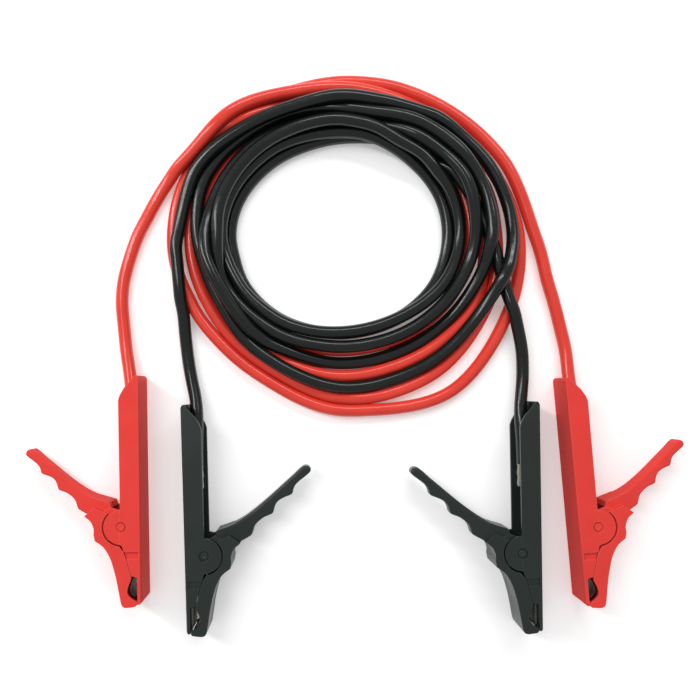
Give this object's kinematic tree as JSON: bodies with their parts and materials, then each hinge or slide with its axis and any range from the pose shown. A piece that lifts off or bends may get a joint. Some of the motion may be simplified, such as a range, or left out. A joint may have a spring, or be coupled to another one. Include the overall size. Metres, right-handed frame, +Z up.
{
  "type": "car jumper cable set",
  "caption": "Red and black jumper leads coiled together, with a spring clamp with contact jaws on every cable end.",
  "frame": {"origin": "on the surface that the set lies on, at the middle of the box round the four clamps, without the cables", "axes": "+Z up, +Y from the clamps towards the coil, +X to the right when seen from above with the coil at the top"},
  "size_m": [0.4311, 0.3726, 0.027],
  "materials": {
    "red_clamp_plastic": "satin moulded plastic",
    "black_clamp_plastic": "satin moulded plastic",
    "red_cable_pvc": "glossy soft PVC sheath",
    "black_cable_pvc": "glossy soft PVC sheath",
    "spring_steel": "drawn steel wire",
    "plated_steel": "plated steel strip"
  },
  "bodies": {
    "cable_set": {"left_red_housing": "red_clamp_plastic", "left_red_pivot_pin": "red_clamp_plastic", "left_red_spring": "spring_steel", "left_red_fixed_contact": "plated_steel", "left_red_cable": "red_cable_pvc", "left_black_housing": "black_clamp_plastic", "left_black_pivot_pin": "black_clamp_plastic", "left_black_spring": "spring_steel", "left_black_fixed_contact": "plated_steel", "left_black_cable": "black_cable_pvc", "right_black_housing": "black_clamp_plastic", "right_black_pivot_pin": "black_clamp_plastic", "right_black_spring": "spring_steel", "right_black_fixed_contact": "plated_steel", "right_black_cable": "black_cable_pvc", "right_red_housing": "red_clamp_plastic", "right_red_pivot_pin": "red_clamp_plastic", "right_red_spring": "spring_steel", "right_red_fixed_contact": "plated_steel", "right_red_cable": "red_cable_pvc", "black_coil": "black_cable_pvc", "red_coil": "red_cable_pvc"},
    "left_red_jaw": {"left_red_lever": "red_clamp_plastic", "left_red_moving_contact": "plated_steel"},
    "left_black_jaw": {"left_black_lever": "black_clamp_plastic", "left_black_moving_contact": "plated_steel"},
    "right_black_jaw": {"right_black_lever": "black_clamp_plastic", "right_black_moving_contact": "plated_steel"},
    "right_red_jaw": {"right_red_lever": "red_clamp_plastic", "right_red_moving_contact": "plated_steel"}
  },
  "joints": [
    {"name": "left_red_pivot", "type": "hinge", "parent": "cable_set", "child": "left_red_jaw", "pos_m": [-0.1512, -0.0138, 0.0135], "axis": [0, 0, -1], "range_deg": [0, 34], "stiffness_Nm_per_rad": 0.8, "springref_deg": -20.05},
    {"name": "left_black_pivot", "type": "hinge", "parent": "cable_set", "child": "left_black_jaw", "pos_m": [-0.0976, -0.0324, 0.0135], "axis": [0, 0, 1], "range_deg": [0, 34], "stiffness_Nm_per_rad": 0.8, "springref_deg": -20.05},
    {"name": "right_black_pivot", "type": "hinge", "parent": "cable_set", "child": "right_black_jaw", "pos_m": [0.1079, -0.0307, 0.0135], "axis": [0, 0, -1], "range_deg": [0, 34], "stiffness_Nm_per_rad": 0.8, "springref_deg": -20.05},
    {"name": "right_red_pivot", "type": "hinge", "parent": "cable_set", "child": "right_red_jaw", "pos_m": [0.1567, -0.0137, 0.0135], "axis": [0, 0, 1], "range_deg": [0, 34], "stiffness_Nm_per_rad": 0.8, "springref_deg": -20.05}
  ]
}
